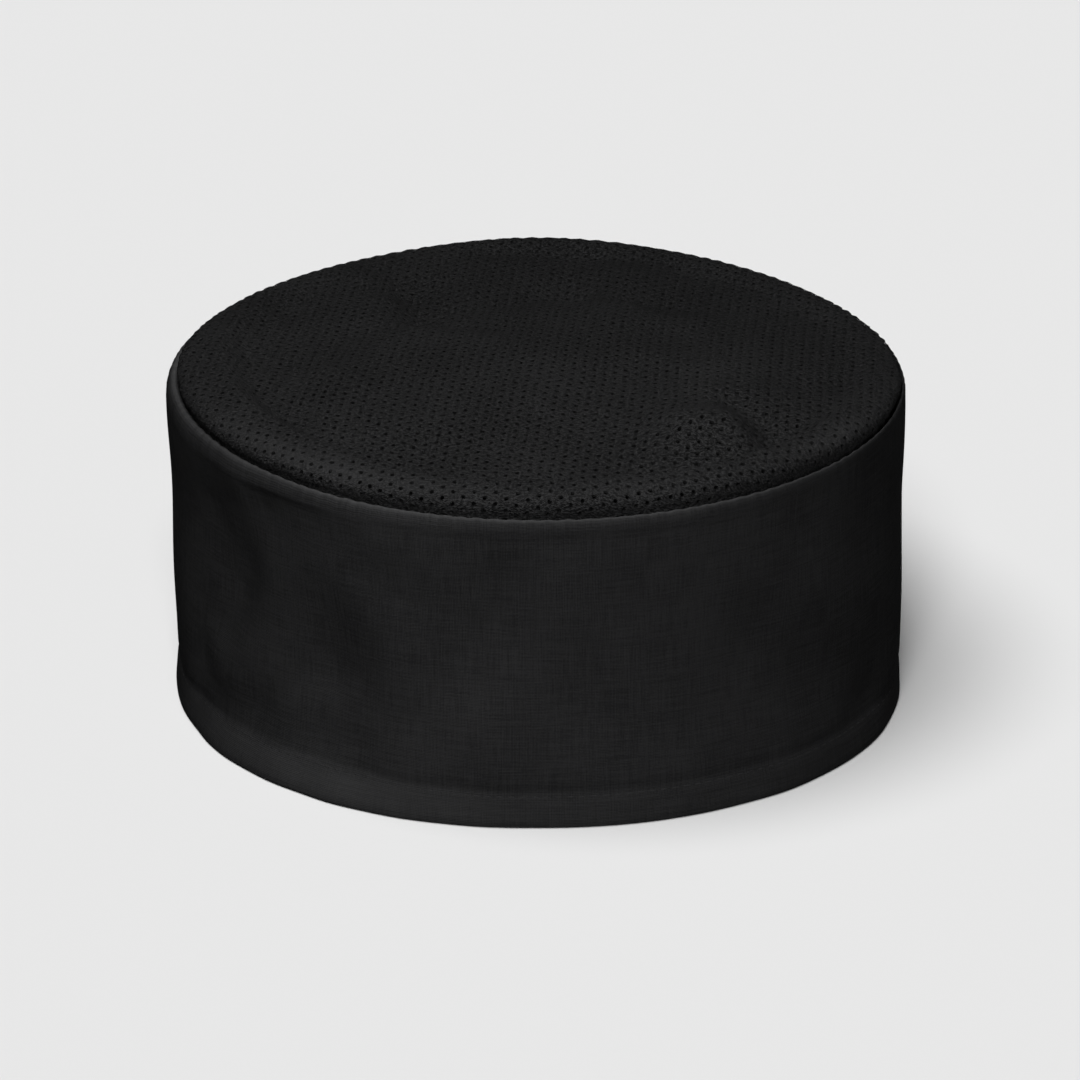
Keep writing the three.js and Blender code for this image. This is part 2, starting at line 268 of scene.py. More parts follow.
def wall_radius(azimuth, height):
    """Radius of the band's outside below the lip."""
    flare = around(azimuth, "flare")
    foot = BAND_RADIUS * around(azimuth, "foot") - flare + FOOT_STAND
    foot = foot * np.clip(1 - height / BAND_HEIGHT, 0, 1)
    flare = flare * np.clip(1 - height / HEM_HEIGHT, 0, 1)
    stitch = STITCH_SINK * np.exp(-(((height - HEM_HEIGHT) / STITCH_REACH) ** 2))
    calm = np.clip((BAND_HEIGHT - height) / (2 * LIP_HEIGHT), 0, 1)
    folds = band_fold(azimuth, height) + cloth_ripple(azimuth, height)
    near_seam = np.exp(-(((BAND_HEIGHT - LIP_HEIGHT - height) / PUCKER_FADE) ** 2))
    drawn = PUCKER_ON_WALL * PUCKER_DEPTH * near_seam * pucker(azimuth)
    return BAND_RADIUS + foot + flare - stitch + calm * folds + drawn


Seam = namedtuple("Seam", "radius height lip")


def seam(azimuth):
    """The seam between the band and the crown: its radius, its height and its lip's height."""
    share = around(azimuth, "lip")
    height = BAND_HEIGHT * (1 + around(azimuth, "seam")) + SEAM_WANDER * pucker(azimuth)
    return Seam(BAND_RADIUS - LIP_DEPTH * share, height, LIP_HEIGHT * share)


def band_point(azimuth, stage):
    """Points of the band's outside as radius and height. Stage -1 is its cut edge inside the seam,
    0 the inside of the lip, 1 the lip's foot, 2 the rim, 3 the rim's inside, 4 the hem's top."""
    edge = seam(azimuth)
    foot = edge.height - edge.lip
    start = wall_radius(azimuth, foot)
    middle = edge.radius + LIP_INNER_SHARE * (start - edge.radius)
    turn = np.pi * (1 - np.clip(stage, 0, 1))
    outer = turn < np.pi / 2
    lip_radius = middle + np.cos(turn) * np.where(outer, start - middle, middle - edge.radius)
    lip_level = edge.height - np.where(outer, edge.lip, LIP_TUCK) * (1 - np.sin(turn))
    lip_level = lip_level - BAND_SKIRT * np.clip(-stage, 0, 1)
    level = foot + (RIM_TURN - foot) * np.clip(stage - 1, 0, 1)
    bend = np.pi * np.clip(stage - 2, 0, 1)
    hem_level = RIM_TURN + (HEM_HEIGHT - RIM_TURN) * np.clip(stage - 3, 0, 1)
    cases = [stage <= 1, stage <= 2, stage <= 3]
    rim = wall_radius(azimuth, np.full_like(azimuth, RIM_TURN))
    radius = np.select(
        cases,
        [lip_radius, wall_radius(azimuth, level), rim - RIM_TURN * (1 - np.cos(bend))],
        wall_radius(azimuth, hem_level) - 2 * RIM_TURN,
    )
    height = np.select(cases, [lip_level, level, RIM_TURN * (1 - np.sin(bend))], hem_level)
    return radius, height


def floor_height(x, y):
    """Height of the crown's floor over the seam, with its swells and folds."""
    swell = np.zeros_like(x)
    for row in CROWN_SWELLS:
        away = np.hypot(x / BAND_RADIUS - row.x, y / BAND_RADIUS - row.y) / row.reach
        swell += row.height * np.exp(-away * away)
    fold = np.zeros_like(x)
    for row in CROWN_FOLDS:
        fold += row.depth * fold_share(
            x / BAND_RADIUS, y / BAND_RADIUS, row.x, row.y, row.to_x, row.to_y, row.width
        )
    return CROWN_RISE * swell + fold


def crown_point(azimuth, stage):
    """Points of the crown's outside. Stage -1 is its cut edge under the seam, 0 the seam, 1 the
    roll's crest, 2 the valley and 3 the middle."""
    edge = seam(azimuth)
    outer_radius = edge.radius - SEAM_GROOVE
    crest = ROLL_WIDTH * around(azimuth, "crest")
    tuck = math.radians(ROLL_TUCK)
    turn = -tuck + (np.pi / 2 + tuck) * np.clip(stage, 0, 1)
    fall = np.clip(stage - 1, 0, 1)
    inward = crest * (math.cos(tuck) - np.cos(turn)) + VALLEY_WIDTH * fall
    radius = (outer_radius - inward) * (1 - np.clip(stage - 2, 0, 1))
    climb = (np.sin(turn) + math.sin(tuck)) / (1 + math.sin(tuck))
    roll = ROLL_HEIGHT * around(azimuth, "roll") * climb * (1 + np.cos(np.pi * fall)) / 2
    level = BAND_HEIGHT + (edge.height - BAND_HEIGHT) * radius / outer_radius
    level = level + PIECE_GAP * math.sqrt(0.5) - CROWN_SKIRT * np.clip(-stage, 0, 1)
    drawn = np.exp(-((np.clip(stage, 0, 3) / 0.9) ** 2)) * np.clip(stage * 4, 0, 1)
    radius = radius + PUCKER_DEPTH * drawn * pucker(azimuth)
    turned = np.radians(azimuth)
    x, y = radius * np.sin(turned), -radius * np.cos(turned)
    share = np.clip((outer_radius - radius - crest / 2) / (crest / 2 + VALLEY_WIDTH), 0, 1)
    calm = share * share * (3 - 2 * share)
    return x, y, level + roll + calm * floor_height(x, y)


def place(mesh, x, y, z):
    """Moves a mesh's vertices to points in mm."""
    mesh.vertices.foreach_set("co", (np.column_stack((x, y, z)) * MM).astype(np.float32).ravel())
    mesh.update()


def place_round(mesh, azimuth, radius, height):
    """Moves a mesh's vertices to azimuths, radii and heights."""
    turned = np.radians(azimuth)
    place(mesh, radius * np.sin(turned), -radius * np.cos(turned), height)


def azimuths(points):
    """Azimuth of each point."""
    return np.degrees(np.arctan2(points[:, 0], -points[:, 1]))


def corners(mesh):
    """The vertices of a mesh, and the vertex of each face corner."""
    points = np.empty(len(mesh.vertices) * 3)
    mesh.vertices.foreach_get("co", points)
    index = np.empty(len(mesh.loops), int)
    mesh.loops.foreach_get("vertex_index", index)
    return points.reshape(-1, 3), index


def write_uv(mesh, u, v):
    """Gives a mesh the UV map of its flat cloth."""
    layer = mesh.uv_layers.new(name="cloth")
    layer.data.foreach_set("uv", np.column_stack((u, v)).astype(np.float32).ravel())


def share_round(azimuth, index):
    """Share of the way round from the back for each face corner, without a jump inside a face."""
    u = np.mod(azimuth[index] - 180, 360).reshape(-1, 4) / 360
    return np.where((u < 0.5) & (u.max(1, keepdims=True) > 0.75), u + 1, u).ravel()


def write_wear_and_highlight(mesh, wear_and_highlight):
    """Gives a mesh the attribute of how pale the cloth is made, from 0 to 1: from rubbing at the rim and from
    painted highlights elsewhere.
    """
    layer = mesh.attributes.new("wear_and_highlight", "FLOAT", "POINT")
    layer.data.foreach_set("value", np.clip(wear_and_highlight, 0, 1).astype(np.float32))


def finish_piece(name, bm, material):
    """Object with the mesh of a bmesh, shaded smooth."""
    mesh = bpy.data.meshes.new(name)
    bm.to_mesh(mesh)
    bm.free()
    made = bpy.data.objects.new(name, mesh)
    bpy.context.collection.objects.link(made)
    for polygon in mesh.polygons:
        polygon.use_smooth = True
    mesh.materials.append(material)
    return made


def thicken(made, wall):
    """Cloth thickness behind the outside."""
    solid = made.modifiers.new("cloth_thickness", "SOLIDIFY")
    solid.thickness = wall * MM
    solid.offset = -1
    solid.use_rim = True
    solid.use_even_offset = False


def spun_strip(stages, steps):
    """A cylinder of rings round the axis, from the back all the way round, whose heights are the
    stages of its cloth."""
    bm = bmesh.new()
    start = [bm.verts.new((0, BAND_RADIUS, -stage)) for stage in stages]
    line = [bm.edges.new(pair) for pair in zip(start, start[1:])]
    bmesh.ops.spin(
        bm, geom=start + line, cent=(0, 0, 0), axis=(0, 0, 1), angle=2 * math.pi,
        steps=steps, use_merge=True, use_duplicate=False,
    )
    bmesh.ops.recalc_face_normals(bm, faces=bm.faces[:])
    bm.faces.ensure_lookup_table()
    first = bm.faces[0]
    if first.normal.dot(first.calc_center_median() * Vector((1, 1, 0))) < 0:
        bmesh.ops.reverse_faces(bm, faces=bm.faces[:])
    return bm


def band_cloth(material):
    """The band with its lip, its rim and its turned-up hem, as one strip of woven cloth."""
    stages = np.concatenate([
        [-1.0],
        np.linspace(0, 1, 11)[:-1],
        1 + np.concatenate([
            np.linspace(0, 0.08, 7)[:-1],
            np.linspace(0.08, 0.855, 25)[:-1],
            np.linspace(0.855, 0.935, 12)[:-1],
            np.linspace(0.935, 1, 4)[:-1],
        ]),
        np.linspace(2, 3, 7)[:-1],
        np.linspace(3, 4, 6),
    ])
    made = finish_piece("band_cloth", spun_strip(stages, BAND_STEPS), material)
    mesh = made.data
    flat, index = corners(mesh)
    azimuth, stage = azimuths(flat), -flat[:, 2]
    radius, height = band_point(azimuth, stage)
    front_radius, front_height = band_point(np.zeros_like(stages), stages)
    steps = np.hypot(np.diff(front_radius), np.diff(front_height))
    travelled = np.concatenate([[0], np.cumsum(steps)])
    strip = np.interp(stage, stages, travelled)
    write_uv(mesh, share_round(azimuth, index), strip[index] / travelled[-1])
    # Painted highlights: a pale line along the lip, dimmer at the sides, and a pale strip on the hem at the
    # front left; the rim is paler from rubbing.
    lip_highlight = np.exp(-(((stage - 0.45) / 0.18) ** 2)) * (LIP_HIGHLIGHT + 0.3 * pucker(azimuth * 2))
    lip_highlight = lip_highlight * (1 - 0.5 * near_azimuth(azimuth, -68, 20) - 0.45 * near_azimuth(azimuth, 70, 28))
    rim_wear = RIM_WEAR * np.exp(-(((stage - 2.1) / 0.12) ** 2))
    hem_highlight = HEM_HIGHLIGHT * near_azimuth(azimuth, -38, 30) * np.exp(-(((stage - 1.95) / 0.05) ** 2))
    write_wear_and_highlight(mesh, lip_highlight + rim_wear + hem_highlight)
    back = np.mod(azimuth, 360) - 180
    groove = BACK_SEAM_DEPTH * np.exp(-((np.radians(back) * BAND_RADIUS / BACK_SEAM_REACH) ** 2))
    place_round(mesh, azimuth, radius - groove, height)
    thicken(made, BAND_CLOTH)
    return made


def flat_mesh_disc():
    """The flat crown: rhombic cells cut to a round disc, with an eyelet in each whole cell."""
    bm = bmesh.new()
    bmesh.ops.create_grid(
        bm, x_segments=LATTICE_CELLS, y_segments=LATTICE_CELLS, size=LATTICE_CELLS / 2
    )
    bmesh.ops.rotate(bm, verts=bm.verts[:], cent=(0, 0, 0), matrix=Matrix.Rotation(math.pi / 4, 3, "Z"))
    scale = (math.sqrt(2) * CELL_HALF_WIDTH, math.sqrt(2) * CELL_HALF_DEPTH, 1)
    bmesh.ops.scale(bm, vec=scale, verts=bm.verts[:])
    for step in range(FLAT_SIDES):
        turn = 2 * math.pi * step / FLAT_SIDES
        outward = Vector((math.cos(turn), math.sin(turn), 0))
        bmesh.ops.bisect_plane(
            bm, geom=bm.verts[:] + bm.edges[:] + bm.faces[:],
            plane_co=outward * FLAT_RADIUS, plane_no=outward, clear_outer=True,
        )
    whole_area = 2 * CELL_HALF_WIDTH * CELL_HALF_DEPTH
    holed = [
        face for face in bm.faces
        if len(face.verts) == 4
        and face.calc_area() > 0.99 * whole_area
        and max(vert.co.length for vert in face.verts) < FLAT_RADIUS - EYELET_MARGIN
    ]
    bmesh.ops.inset_individual(bm, faces=holed, thickness=EYELET_INSET, use_even_offset=True)
    inner = [
        face for face in bm.faces
        if len(face.verts) == 4
        and face.calc_area() < 0.3 * whole_area
        and all(len(edge.link_faces) == 2 and edge.calc_length() < 1.5 for edge in face.edges)
    ]
    centres = kdtree.KDTree(len(inner))
    for number, face in enumerate(inner):
        centres.insert(face.calc_center_median(), number)
    centres.balance()
    side = math.hypot(CELL_HALF_WIDTH, CELL_HALF_DEPTH)
    cut = {edge for edge in bm.edges if edge.calc_length() > 0.98 * side}
    cut.update(edge for face in inner for edge in face.edges)
    bmesh.ops.delete(bm, geom=inner, context="FACES_ONLY")
    bmesh.ops.subdivide_edges(bm, edges=list(cut), cuts=1)
    return bm, centres


def round_eyelets(bm, centres):
    """Moves the corners of the eyelets to ovals that differ slightly in size and shape."""
    random = np.random.default_rng(EYELET_SEED)
    count = centres_count(centres)
    sizes = EYELET_RADIUS * random.normal(1.0, 0.06, count)
    widths = np.clip(random.normal(1.0, 0.11, count), 0.75, 1.25)
    for vert in bm.verts:
        if not vert.is_boundary or vert.co.length > FLAT_RADIUS - EYELET_MARGIN / 2:
            continue
        centre, number, _ = centres.find(vert.co)
        offset = vert.co - centre
        turn = round(math.atan2(offset.y, offset.x) / (math.pi / 4)) * math.pi / 4
        closing = 1 - EYELET_CLOSING * min(max(centre.y / FLAT_RADIUS + 0.35, 0), 1)
        width = float(widths[number])
        corner = Vector((math.cos(turn) * width, math.sin(turn) / width, 0))
        vert.co = centre + float(sizes[number]) * closing * corner
    for edge in bm.edges:
        edge.smooth = not edge.is_boundary


def centres_count(centres):
    """How many eyelets a tree of centres holds."""
    return len(centres.find_range((0, 0, 0), 2 * FLAT_RADIUS))


def crown_mesh(material):
    """The crown of eyelet mesh: the flat disc laid over the crown's shape by its lengths."""
    bm, centres = flat_mesh_disc()
    round_eyelets(bm, centres)
    made = finish_piece("crown_mesh", bm, material)
    mesh = made.data
    flat, index = corners(mesh)
    write_uv(mesh, *(flat[index, axis] / (2 * FLAT_RADIUS) + 0.5 for axis in (0, 1)))
    turn = math.radians(LATTICE_TURN)
    x = flat[:, 0] * math.cos(turn) - flat[:, 1] * math.sin(turn)
    y = flat[:, 0] * math.sin(turn) + flat[:, 1] * math.cos(turn)
    azimuth = azimuths(np.column_stack((x, y)))
    share = np.clip(np.hypot(x, y) / FLAT_RADIUS, 0, 1)

    meridians = np.arange(-180, 181, 3.0)
    stages = np.linspace(3, -1, 161)
    grid_azimuth, grid_stage = np.meshgrid(meridians, stages, indexing="ij")
    line = np.stack(crown_point(grid_azimuth, grid_stage))
    lengths = np.cumsum(np.linalg.norm(np.diff(line, axis=2), axis=0), axis=1)
    lengths = np.concatenate([np.zeros((len(meridians), 1)), lengths], axis=1)
    lengths /= lengths[:, -1:]
    place_in = (azimuth + 180) / 3.0
    first = np.clip(np.floor(place_in).astype(int), 0, len(meridians) - 2)
    blend = place_in - first
    stage = np.empty_like(share)
    for row in range(len(meridians) - 1):
        here = first == row
        low = np.interp(share[here], lengths[row], stages)
        high = np.interp(share[here], lengths[row + 1], stages)
        stage[here] = low + (high - low) * blend[here]
    # Painted highlights along the roll's crest, strongest at the front left and the front right.
    pale_wear_and_highlight = ROLL_HIGHLIGHT + ROLL_HIGHLIGHT_LEFT * near_azimuth(azimuth, -38, 24)
    pale_wear_and_highlight = pale_wear_and_highlight + ROLL_HIGHLIGHT_RIGHT * near_azimuth(azimuth, 56, 9)
    write_wear_and_highlight(mesh, pale_wear_and_highlight * np.exp(-(((stage - 0.62) / 0.22) ** 2)))
    place(mesh, *crown_point(azimuth, stage))
    thicken(made, CROWN_CLOTH)
    return made


def allowance_point(azimuth, below):
    """Points of the allowance's outside, from 0 at the seam to 1 at its lower edge."""
    edge = seam(azimuth)
    height = edge.height - 2 * PIECE_GAP - ALLOWANCE_WIDTH * below
    wall = wall_radius(azimuth, height) - BAND_CLOTH - 2 * PIECE_GAP
    return np.minimum(wall, edge.radius - CROWN_CLOTH - 3 * PIECE_GAP), height


def seam_allowance(material):
    """The two cut edges under the crown, turned in and overlocked together."""
    made = finish_piece("overlocked_allowance", spun_strip(np.linspace(0, 1, 7), 360), material)
    mesh = made.data
    flat, index = corners(mesh)
    azimuth, below = azimuths(flat), -flat[:, 2]
    write_uv(mesh, share_round(azimuth, index), below[index])
    place_round(mesh, azimuth, *allowance_point(azimuth, below))
    thicken(made, ALLOWANCE_WALL)
    return made


def copies_around(bm, count):
    """Copies a small shape round the axis to a full ring of them."""
    bmesh.ops.spin(
        bm, geom=bm.verts[:] + bm.edges[:] + bm.faces[:], cent=(0, 0, 0), axis=(0, 0, 1),
        angle=2 * math.pi * (count - 1) / count, steps=count - 1, use_duplicate=True,
    )


def overlock_loops(material):
    """The overlock thread, looped round the lower edge of the seam allowance."""
    bm = bmesh.new()
    ring = bmesh.ops.create_circle(
        bm, segments=4, radius=OVERLOCK_THREAD,
        matrix=Matrix.Translation((OVERLOCK_REACH, 0, 0)) @ Matrix.Rotation(math.pi / 2, 4, "X"),
    )["verts"]
    edges = list({edge for vert in ring for edge in vert.link_edges})
    bmesh.ops.spin(
        bm, geom=ring + edges, cent=(0, 0, 0), axis=(0, 0, 1), angle=2 * math.pi,
        steps=10, use_merge=True, use_duplicate=False,
    )
    bmesh.ops.recalc_face_normals(bm, faces=bm.faces[:])
    half_wall = ALLOWANCE_WALL / 2 + OVERLOCK_THREAD
    bmesh.ops.scale(bm, vec=(half_wall / OVERLOCK_REACH, 1, 1), verts=bm.verts[:])
    lean = Matrix.Rotation(math.radians(OVERLOCK_LEAN), 3, "X") @ Matrix.Rotation(math.pi / 2, 3, "X")
    bmesh.ops.rotate(bm, verts=bm.verts[:], cent=(0, 0, 0), matrix=lean)
    bmesh.ops.rotate(bm, verts=bm.verts[:], cent=(0, 0, 0), matrix=Matrix.Rotation(math.pi / 2, 3, "Z"))
    bmesh.ops.translate(bm, verts=bm.verts[:], vec=(0, -BAND_RADIUS, 0))
    copies_around(bm, OVERLOCK_COUNT)
    made = finish_piece("overlock_thread", bm, material)
    flat, _ = corners(made.data)
    azimuth = azimuths(flat)
    radius, height = allowance_point(azimuth, np.full_like(azimuth, 1.0))
    radius = radius - ALLOWANCE_WALL / 2 + np.hypot(flat[:, 0], flat[:, 1]) - BAND_RADIUS
    height = height + OVERLOCK_REACH - 2 * OVERLOCK_THREAD + flat[:, 2]
    place_round(made.data, azimuth, radius, height)
    return made


def hem_stitches(name, depth, material):
    """A row of straight stitches round the top of the hem, at a depth behind the band's outside."""
    bm = bmesh.new()
    bmesh.ops.create_icosphere(bm, subdivisions=1, radius=1.0)
    bmesh.ops.scale(bm, vec=(STITCH_LENGTH / 2, STITCH_THREAD, STITCH_THREAD), verts=bm.verts[:])
    bmesh.ops.translate(bm, verts=bm.verts[:], vec=(0, -BAND_RADIUS, HEM_HEIGHT - STITCH_EDGE))
    copies_around(bm, STITCH_COUNT)
    made = finish_piece(name, bm, material)
    flat, _ = corners(made.data)
    azimuth = azimuths(flat)
    wall = wall_radius(azimuth, np.full_like(azimuth, HEM_HEIGHT - STITCH_EDGE)) - depth
    place_round(made.data, azimuth, wall + np.hypot(flat[:, 0], flat[:, 1]) - BAND_RADIUS, flat[:, 2])
    return made


# Shader nodes

def add(tree, kind, inputs=None, **settings):
    """New node with its settings, whose inputs are linked to sockets or set to values."""
    made = tree.nodes.new(kind)
    for name, value in settings.items():
        setattr(made, name, value)
    for key, value in (inputs or {}).items():
        if isinstance(value, bpy.types.NodeSocket):
            tree.links.new(value, made.inputs[key])
        else:
            made.inputs[key].default_value = value
    return made


def calc(tree, operation, *values):
    """Result of a Math node."""
    return add(tree, "ShaderNodeMath", dict(enumerate(values)), operation=operation).outputs[0]


def shader_group(name, inputs, outputs):
    """Empty node group with its input and output sockets, and its two end nodes."""
    tree = bpy.data.node_groups.new(name, "ShaderNodeTree")
    for socket, kind, value in inputs:
        made = tree.interface.new_socket(socket, in_out="INPUT", socket_type=kind)
        if value is not None:
            made.default_value = value
    for socket, kind in outputs:
        tree.interface.new_socket(socket, in_out="OUTPUT", socket_type=kind)
    return tree, tree.nodes.new("NodeGroupInput"), tree.nodes.new("NodeGroupOutput")


def plain_weave_group():
    """Plain weave with slubs: the height of the threads and their uneven shade."""
    tree, given, result = shader_group(
        "plain_weave",
        [("Cloth", "NodeSocketVector", None), ("Thread", "NodeSocketFloat", 0.4)],
        [("Height", "NodeSocketFloat"), ("Shade", "NodeSocketFloat")],
    )
    axes = add(tree, "ShaderNodeSeparateXYZ", {0: given.outputs["Cloth"]})
    waves = []
    for axis in (0, 1):
        turn = calc(tree, "DIVIDE", axes.outputs[axis], given.outputs["Thread"])
        waves.append(calc(tree, "SINE", calc(tree, "MULTIPLY", turn, math.pi)))
    over = calc(tree, "MULTIPLY", *waves)
    raised = []
    for wave, side in zip(waves, (0.5, -0.5)):
        on_top = calc(tree, "MULTIPLY_ADD", over, side, 0.5)
        raised.append(calc(tree, "MULTIPLY", calc(tree, "ABSOLUTE", wave), on_top))
    threads = calc(tree, "MAXIMUM", *raised)
    slubs = []
    for scale in ((2.2, 0.09, 1.0), (0.07, 2.0, 1.0)):
        stretched = add(tree, "ShaderNodeMapping", {"Vector": given.outputs["Cloth"], "Scale": scale})
        noise = add(tree, "ShaderNodeTexNoise", {
            "Vector": stretched.outputs[0], "Scale": 1.0, "Detail": 2.0, "Roughness": 0.6,
        })
        slubs.append(noise.outputs[0])
    specks = add(tree, "ShaderNodeTexNoise", {
        "Vector": given.outputs["Cloth"], "Scale": 1.6, "Detail": 3.0, "Roughness": 0.75,
    })
    slubs.append(specks.outputs[0])
    uneven = calc(tree, "DIVIDE", calc(tree, "ADD", calc(tree, "ADD", *slubs[:2]), slubs[2]), 3.0)
    sharper = calc(tree, "MULTIPLY_ADD", uneven, 2.6, -0.8)
    tree.links.new(calc(tree, "MULTIPLY_ADD", uneven, 1.6, threads), result.inputs["Height"])
    shade = calc(tree, "MULTIPLY_ADD", calc(tree, "SUBTRACT", threads, 0.35), 0.5, sharper)
    tree.links.new(shade, result.inputs["Shade"])
    return tree


def eyelet_knit_group():
    """Knitted mesh: the height of its loops, which sink round each eyelet, their shade, and a painted shade
    in and round each eyelet.
    """
    tree, given, result = shader_group(
        "eyelet_knit",
        [("Cloth", "NodeSocketVector", None), ("Loop", "NodeSocketFloat", 0.9)],
        [("Height", "NodeSocketFloat"), ("Shade", "NodeSocketFloat"), ("Eyelet Shade", "NodeSocketFloat")],
    )
    axes = add(tree, "ShaderNodeSeparateXYZ", {0: given.outputs["Cloth"]})
    across = calc(tree, "DIVIDE", axes.outputs[0], CELL_HALF_WIDTH)
    along = calc(tree, "DIVIDE", axes.outputs[1], CELL_HALF_DEPTH)
    offsets = []
    for sign in (0.5, -0.5):
        cell = calc(tree, "MULTIPLY_ADD", across, 0.5, calc(tree, "MULTIPLY", along, sign))
        offsets.append(calc(tree, "SUBTRACT", calc(tree, "FRACT", calc(tree, "ADD", cell, 0.5)), 0.5))
    right = calc(tree, "MULTIPLY", calc(tree, "ADD", *offsets), CELL_HALF_WIDTH)
    ahead = calc(tree, "MULTIPLY", calc(tree, "SUBTRACT", *offsets), CELL_HALF_DEPTH)
    squared = calc(tree, "ADD", calc(tree, "POWER", right, 2.0), calc(tree, "POWER", ahead, 2.0))
    dimple = calc(tree, "EXPONENT", calc(tree, "MULTIPLY", squared, -1.1))
    # Painted shade: the colour is darkened to 0.3 at each eyelet's edge and wall, easing back to full colour
    # a little way out.
    inside = add(tree, "ShaderNodeMapRange", {
        "Value": calc(tree, "SQRT", squared), "From Min": 0.5, "From Max": 0.66, "To Min": 0.3, "To Max": 1.0,
    }).outputs[0]
    noise = add(tree, "ShaderNodeTexNoise", {
        "Vector": given.outputs["Cloth"], "Scale": 0.9, "Detail": 4.0, "Roughness": 0.7,
    }).outputs[0]
    column = calc(tree, "DIVIDE", axes.outputs[0], given.outputs["Loop"])
    row = calc(tree, "DIVIDE", axes.outputs[1], calc(tree, "MULTIPLY", given.outputs["Loop"], 0.6))
    lean = calc(tree, "MULTIPLY", calc(tree, "PINGPONG", row, 0.5), 0.9)
    bend = calc(tree, "MULTIPLY_ADD", noise, 1.4, lean)
    wale = calc(tree, "SINE", calc(tree, "MULTIPLY", calc(tree, "ADD", column, bend), 2 * math.pi))
    course = calc(tree, "SINE", calc(tree, "MULTIPLY", calc(tree, "ADD", row, noise), 2 * math.pi))
    dashes = add(tree, "ShaderNodeMapping", {"Vector": given.outputs["Cloth"], "Scale": (1.1, 2.0, 1.0)})
    dash = add(tree, "ShaderNodeTexNoise", {
        "Vector": dashes.outputs[0], "Scale": 1.0, "Detail": 1.5, "Roughness": 0.6,
    }).outputs[0]
    regular = calc(tree, "MULTIPLY_ADD", calc(tree, "MULTIPLY", wale, course), 0.25, 0.5)
    loops = calc(tree, "ADD", regular, calc(tree, "MULTIPLY_ADD", dash, 3.0, -1.5))
    height = calc(tree, "MULTIPLY_ADD", dimple, -0.8, calc(tree, "MULTIPLY", loops, 0.8))
    tree.links.new(height, result.inputs["Height"])
    shade = calc(tree, "MULTIPLY_ADD", loops, 0.95, calc(tree, "MULTIPLY_ADD", noise, 0.25, -0.1))
    tree.links.new(shade, result.inputs["Shade"])
    tree.links.new(inside, result.inputs["Eyelet Shade"])
    return tree


def cloth_material(name, group, group_values, flat_size, dark, light, highlight_and_wear_colour, relief, rough, gloss):
    """Matt black cloth, whose threads come from a group that reads the flat cloth in mm."""
    material = bpy.data.materials.new(name)
    material.use_nodes = True
    tree = material.node_tree
    tree.nodes.clear()
    uv = add(tree, "ShaderNodeUVMap", uv_map="cloth")
    flat = add(tree, "ShaderNodeMapping", {
        "Vector": uv.outputs[0],
        "Scale": (flat_size[0], flat_size[1], 1.0),
        "Location": (-flat_size[0] / 2, -flat_size[1] / 2, 0.0),
    })
    threads = add(tree, "ShaderNodeGroup", node_tree=group)
    tree.links.new(flat.outputs[0], threads.inputs["Cloth"])
    for key, value in group_values.items():
        threads.inputs[key].default_value = value
    patches = add(tree, "ShaderNodeTexNoise", {
        "Vector": flat.outputs[0], "Scale": 0.03, "Detail": 3.0, "Roughness": 0.55,
    })
    from_threads = calc(tree, "MULTIPLY", threads.outputs["Shade"], 0.65)
    mixed = calc(tree, "MULTIPLY_ADD", patches.outputs[0], 0.35, from_threads)
    colour = add(tree, "ShaderNodeMapRange", {
        "Value": mixed, "From Min": 0.36, "From Max": 0.70, "To Min": 0.0, "To Max": 1.0,
    })
    tint = add(tree, "ShaderNodeMix", data_type="RGBA")
    tree.links.new(colour.outputs[0], tint.inputs[0])
    tint.inputs[6].default_value = (*dark, 1)
    tint.inputs[7].default_value = (*light, 1)
    # Paler colour from the mesh's attribute: pale from rubbing at the band's rim, and painted highlights on
    # the lip, the hem and the roll's crest.
    wear_and_highlight = add(tree, "ShaderNodeAttribute", attribute_name="wear_and_highlight").outputs["Fac"]
    pale_wear_and_highlight = add(tree, "ShaderNodeMix", {0: wear_and_highlight}, data_type="RGBA")
    tree.links.new(tint.outputs[2], pale_wear_and_highlight.inputs[6])
    pale_wear_and_highlight.inputs[7].default_value = (*highlight_and_wear_colour, 1)
    tint = pale_wear_and_highlight
    # Painted shade in and round the eyelets, multiplied into the colour.
    if "Eyelet Shade" in threads.outputs:
        eyelet_shaded = add(tree, "ShaderNodeMix", data_type="RGBA", blend_type="MULTIPLY")
        eyelet_shaded.inputs[0].default_value = 1.0
        tree.links.new(tint.outputs[2], eyelet_shaded.inputs[6])
        tree.links.new(threads.outputs["Eyelet Shade"], eyelet_shaded.inputs[7])
        tint = eyelet_shaded
    bump = add(tree, "ShaderNodeBump", {
        "Height": threads.outputs["Height"], "Strength": 1.0, "Distance": relief * MM,
    })
    roughness = add(tree, "ShaderNodeMapRange", {
        "Value": mixed, "From Min": 0.2, "From Max": 0.8, "To Min": rough + 0.06, "To Max": rough - 0.06,
    })
    surface = add(tree, "ShaderNodeBsdfPrincipled", {
        "Base Color": tint.outputs[2],
        "Roughness": roughness.outputs[0],
        "Specular IOR Level": gloss,
        "Normal": bump.outputs[0],
    })
    add(tree, "ShaderNodeOutputMaterial", {"Surface": surface.outputs[0]})
    return material


